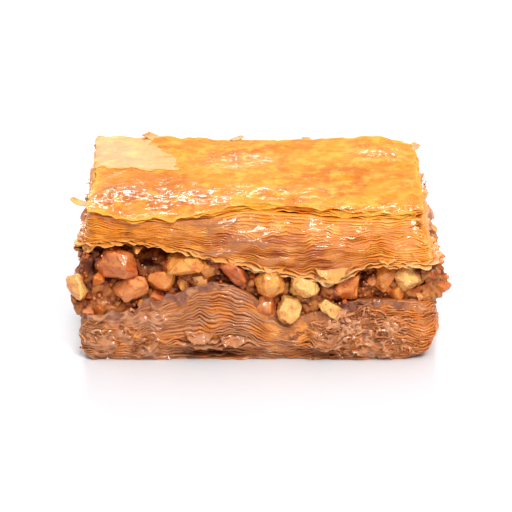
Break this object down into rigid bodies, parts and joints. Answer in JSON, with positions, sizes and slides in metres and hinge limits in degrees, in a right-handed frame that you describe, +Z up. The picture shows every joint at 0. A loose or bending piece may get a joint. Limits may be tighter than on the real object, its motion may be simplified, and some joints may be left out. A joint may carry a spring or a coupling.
{
  "type": "baklava piece",
  "caption": "Oblong cut piece of nut baklava: chopped nuts in syrup between a soaked lower stack and a crisp golden upper stack of filo leaves.",
  "frame": {"origin": "middle of the footprint, at the height of the surface the piece stands on", "axes": "+X along the long cut side, +Y through the depth towards the back, +Z up; the side shown in the picture faces -Y"},
  "size_m": [0.0623, 0.0437, 0.0254],
  "materials": {
    "soaked_filo": "soaked in syrup, satin",
    "baked_filo": "baked golden, glossy with syrup",
    "chopped_filling": "coarse, wet with syrup",
    "nut_kernel": "satin, wet with syrup"
  },
  "bodies": {
    "root": {"lower_leaves": "soaked_filo", "nut_filling": "chopped_filling", "upper_leaves": "baked_filo", "walnut_half": "nut_kernel", "walnut_facet": "nut_kernel", "almond_block": "nut_kernel", "almond_amber": "nut_kernel", "hazelnut_golden": "nut_kernel", "walnut_strip": "nut_kernel", "hazelnut_toasted": "nut_kernel", "almond_cream": "nut_kernel", "almond_sunk": "nut_kernel", "almond_sliver": "nut_kernel", "walnut_brown": "nut_kernel", "hazelnut_pale": "nut_kernel"}
  },
  "joints": []
}
